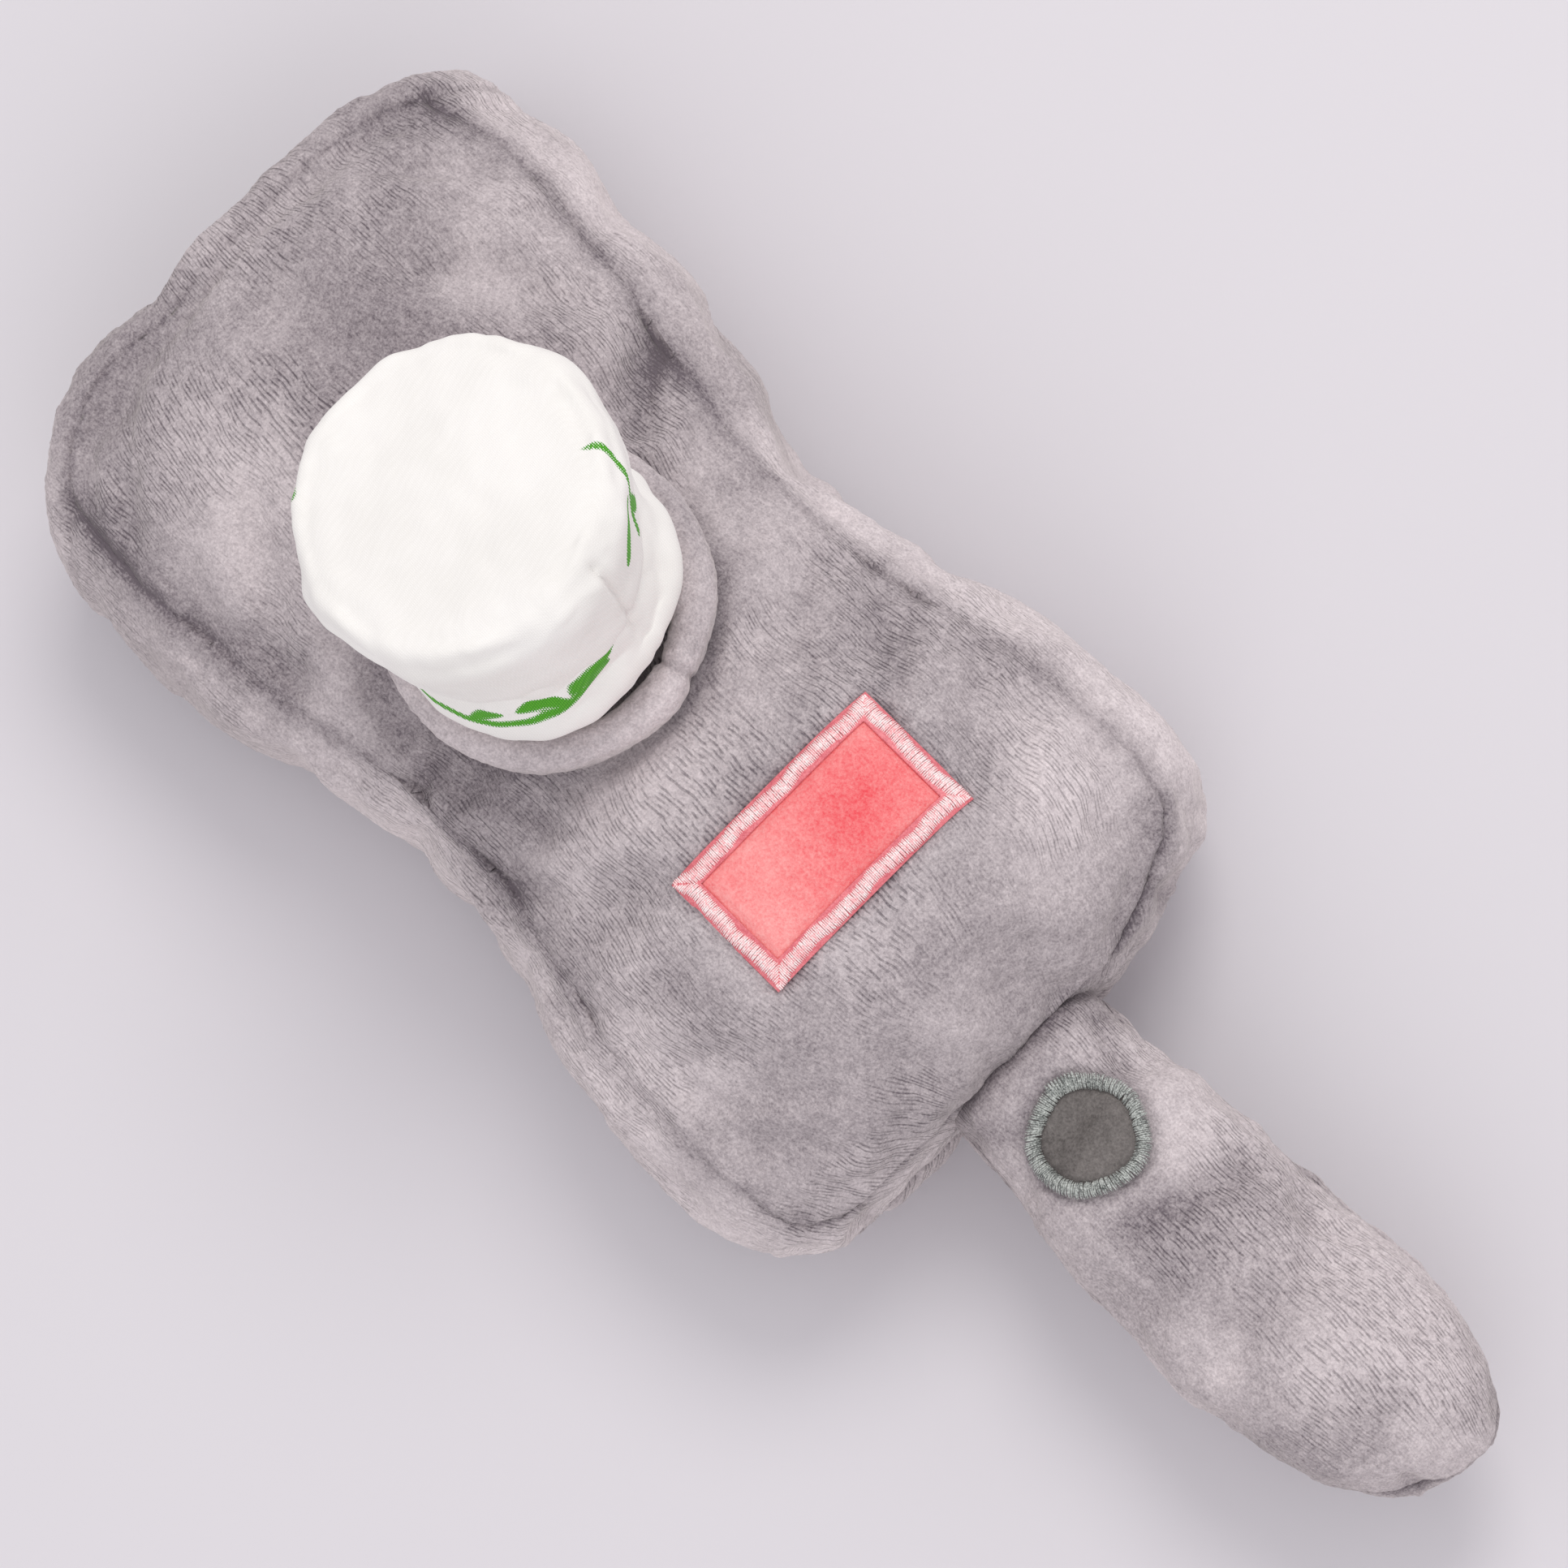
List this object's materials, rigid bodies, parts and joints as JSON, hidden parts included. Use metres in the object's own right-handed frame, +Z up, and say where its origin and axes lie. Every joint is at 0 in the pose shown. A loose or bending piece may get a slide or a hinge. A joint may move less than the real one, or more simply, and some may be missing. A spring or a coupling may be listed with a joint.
{
  "type": "golf driver head cover",
  "caption": "Plush padded pocket for a driver's head, open at one end, with a stuffed handle, an upright stuffed cup in a soft collar and sewn-on patches",
  "frame": {"origin": "bottom centre of the bounding box, on the plane the back panel rests on", "axes": "+X from the mouth to the handle's tip, +Y to the right as seen from the handle, +Z up through the cup"},
  "size_m": [0.366, 0.1386, 0.1323],
  "materials": {
    "grey_plush": "short brushed pile, matte",
    "padding": "loose polyester fibre, matte",
    "lining": "smooth woven, matte",
    "elastic": "braided, matte",
    "coral_plush": "short brushed pile, matte",
    "pink_thread": "satin stitch, soft sheen",
    "white_cloth": "smooth woven with a thin green print, matte",
    "dark_plush": "short brushed pile, matte",
    "green_thread": "satin stitch, soft sheen"
  },
  "bodies": {
    "cover": {"front_panel": "grey_plush", "back_panel": "grey_plush", "side_gusset_right": "grey_plush", "side_gusset_left": "grey_plush", "end_gusset": "grey_plush", "front_padding": "padding", "back_padding": "padding", "side_padding_right": "padding", "side_padding_left": "padding", "end_padding": "padding", "lining_front": "lining", "lining_back": "lining", "mouth_hem": "grey_plush", "mouth_elastic": "elastic", "front_patch": "coral_plush", "patch_border": "pink_thread", "cup_base": "white_cloth", "cup_collar": "grey_plush", "collar_filler": "padding"},
    "cup": {"cup_wall": "white_cloth", "cup_top": "white_cloth", "cup_stuffing": "padding"},
    "handle": {"handle_top_panel": "grey_plush", "handle_bottom_panel": "grey_plush", "handle_stuffing": "padding", "button_disc": "dark_plush", "button_border": "green_thread"}
  },
  "joints": [
    {"name": "handle_fold", "type": "hinge", "parent": "cover", "child": "handle", "pos_m": [0.0735, 0, 0.031], "axis": [0, -1, 0], "range_deg": [-9, 45]},
    {"name": "cup_nod", "type": "hinge", "parent": "cover", "child": "cup", "pos_m": [-0.0685, -0.0018, 0.0788], "axis": [0, 1, 0], "range_deg": [-8, 8]}
  ]
}
